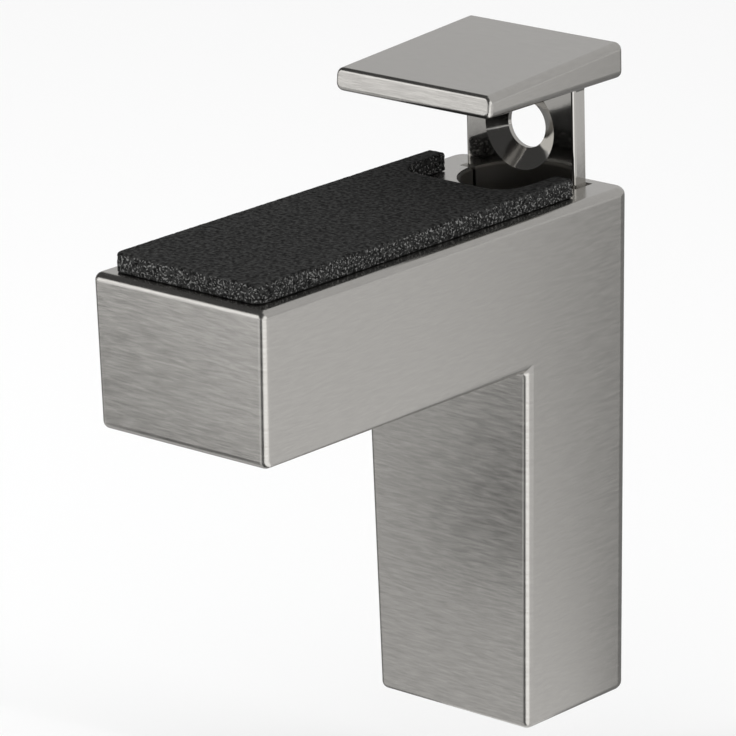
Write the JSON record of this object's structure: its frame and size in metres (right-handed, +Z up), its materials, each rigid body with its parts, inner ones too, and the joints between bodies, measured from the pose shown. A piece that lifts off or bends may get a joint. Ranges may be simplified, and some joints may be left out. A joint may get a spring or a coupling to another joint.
{
  "type": "adjustable shelf clip",
  "caption": "Wall-fixed clamp for a shelf board: an L-shaped cast bracket with a foam pad slides up under a flat upper jaw, driven by a screw in its leg.",
  "frame": {"origin": "centre of the wall screw's hole, on the back face of the upper jaw's plate; the wall plane is 2.5 mm behind it", "axes": "+Y into the wall, -Y out along the arm and the wall screw's axis, +Z up, +X to the right as seen from the room"},
  "size_m": [0.022, 0.0536, 0.0671],
  "materials": {
    "satin_nickel": "satin nickel plate on die-cast zinc, brushed across",
    "black_foam": "matt closed-cell foam rubber, skin on top and cut cells at the sides",
    "plated_steel": "bright zinc-plated steel"
  },
  "bodies": {
    "jaw": {"upper_jaw": "satin_nickel"},
    "bracket": {"bracket_body": "satin_nickel", "shelf_pad": "black_foam"},
    "screw": {"clamp_screw": "plated_steel"}
  },
  "joints": [
    {"name": "clamp_slide", "type": "slide", "parent": "jaw", "child": "bracket", "axis": [0, 0, 1], "range_m": [-0.012, 0.008]},
    {"name": "screw_turn", "type": "hinge", "parent": "bracket", "child": "screw", "pos_m": [0, -0.00405, -0.0545], "axis": [0, 0, 1], "range_deg": [-6173, 4116]}
  ],
  "couplings": [
    {"joint": "screw_turn", "follows": "clamp_slide", "rad_per_m": 8976}
  ]
}
